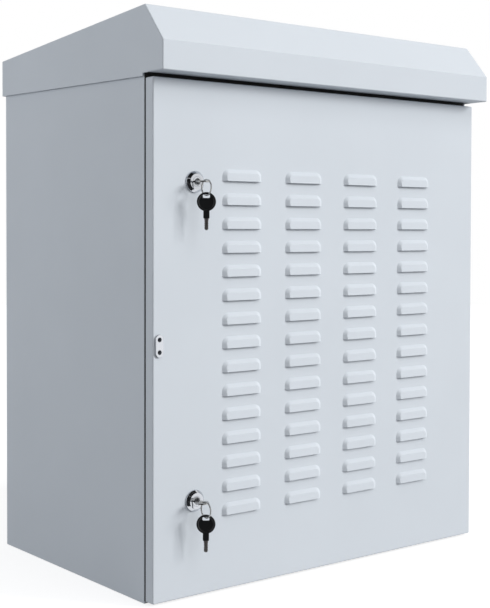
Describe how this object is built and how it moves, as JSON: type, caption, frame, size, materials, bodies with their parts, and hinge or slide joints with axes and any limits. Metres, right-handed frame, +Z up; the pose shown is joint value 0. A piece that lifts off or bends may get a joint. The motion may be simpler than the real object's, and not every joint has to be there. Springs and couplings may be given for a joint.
{
  "type": "roadside utility cabinet",
  "caption": "Grey sheet-steel outdoor equipment cabinet with a pitched rain hood and a hinged louvred door, closed by keyed cam locks, with equipment rails inside.",
  "frame": {"origin": "middle of the body's base, on the surface that the cabinet stands on", "axes": "+Z up, -Y out of the door, +X towards the hinge side of the door"},
  "size_m": [0.607, 0.4404, 0.7669],
  "materials": {
    "cabinet_paint": "light grey powder coat, fine satin texture",
    "zinc_steel": "bright zinc-plated steel",
    "lock_chrome": "bright chrome plate",
    "key_nickel": "nickel-plated brass, lightly worn",
    "key_plastic": "moulded black plastic, fine grain",
    "seal_rubber": "matt black rubber",
    "filter_fleece": "pale needled fleece",
    "earth_brass": "turned brass"
  },
  "bodies": {
    "cabinet": {"left_side_panel": "cabinet_paint", "right_side_panel": "cabinet_paint", "rear_panel": "cabinet_paint", "floor_panel": "cabinet_paint", "roof_panel": "cabinet_paint", "front_frame": "cabinet_paint", "rain_hood": "cabinet_paint", "hood_bracket_left": "cabinet_paint", "hood_bracket_right": "cabinet_paint", "hood_screws": "zinc_steel", "gland_plate": "zinc_steel", "gland_plate_screws": "zinc_steel", "cable_seal": "seal_rubber", "rack_rail_left": "zinc_steel", "rack_rail_right": "zinc_steel", "rail_support_lower_left": "zinc_steel", "rail_support_upper_left": "zinc_steel", "rail_support_lower_right": "zinc_steel", "rail_support_upper_right": "zinc_steel", "rail_screws": "zinc_steel", "earth_stud": "earth_brass", "earth_nut": "earth_brass", "hinge_frame_leaves": "zinc_steel", "hinge_screws": "zinc_steel", "hinge_pins": "zinc_steel", "door_buffer": "seal_rubber"},
    "door": {"door_skin": "cabinet_paint", "door_gasket": "seal_rubber", "filter_mat": "filter_fleece", "filter_frame": "zinc_steel", "filter_studs": "zinc_steel", "filter_nuts": "zinc_steel", "hinge_door_leaves": "zinc_steel", "seal_plate": "lock_chrome", "lock_nuts": "zinc_steel", "upper_lock_barrel": "lock_chrome", "lower_lock_barrel": "lock_chrome"},
    "upper_lock": {"upper_lock_plug": "lock_chrome", "upper_lock_cam": "zinc_steel", "upper_cam_screw": "zinc_steel", "upper_key": "key_nickel"},
    "upper_ring": {"upper_key_ring": "key_nickel"},
    "upper_spare_key": {"upper_spare_key_blade": "key_nickel", "upper_spare_key_head": "key_plastic"},
    "lower_lock": {"lower_lock_plug": "lock_chrome", "lower_lock_cam": "zinc_steel", "lower_cam_screw": "zinc_steel", "lower_key": "key_nickel"},
    "lower_ring": {"lower_key_ring": "key_nickel"},
    "lower_spare_key": {"lower_spare_key_blade": "key_nickel", "lower_spare_key_head": "key_plastic"}
  },
  "joints": [
    {"name": "door_hinge", "type": "hinge", "parent": "cabinet", "child": "door", "pos_m": [0.294, -0.201, 0.338], "axis": [0, 0, 1], "range_deg": [0, 120]},
    {"name": "upper_lock_turn", "type": "hinge", "parent": "door", "child": "upper_lock", "pos_m": [-0.235, -0.2155, 0.543], "axis": [0, 1, 0], "range_deg": [0, 90]},
    {"name": "upper_ring_swing", "type": "hinge", "parent": "upper_lock", "child": "upper_ring", "pos_m": [-0.235, -0.2355, 0.543], "axis": [-1, 0, 0], "range_deg": [0, 80]},
    {"name": "upper_spare_key_swing", "type": "hinge", "parent": "upper_ring", "child": "upper_spare_key", "pos_m": [-0.235, -0.2355, 0.52494], "axis": [0, 1, 0], "range_deg": [-40, 40]},
    {"name": "lower_lock_turn", "type": "hinge", "parent": "door", "child": "lower_lock", "pos_m": [-0.235, -0.2155, 0.128], "axis": [0, 1, 0], "range_deg": [0, 90]},
    {"name": "lower_ring_swing", "type": "hinge", "parent": "lower_lock", "child": "lower_ring", "pos_m": [-0.235, -0.2355, 0.128], "axis": [-1, 0, 0], "range_deg": [0, 80]},
    {"name": "lower_spare_key_swing", "type": "hinge", "parent": "lower_ring", "child": "lower_spare_key", "pos_m": [-0.235, -0.2355, 0.10995], "axis": [0, 1, 0], "range_deg": [-40, 40]}
  ]
}
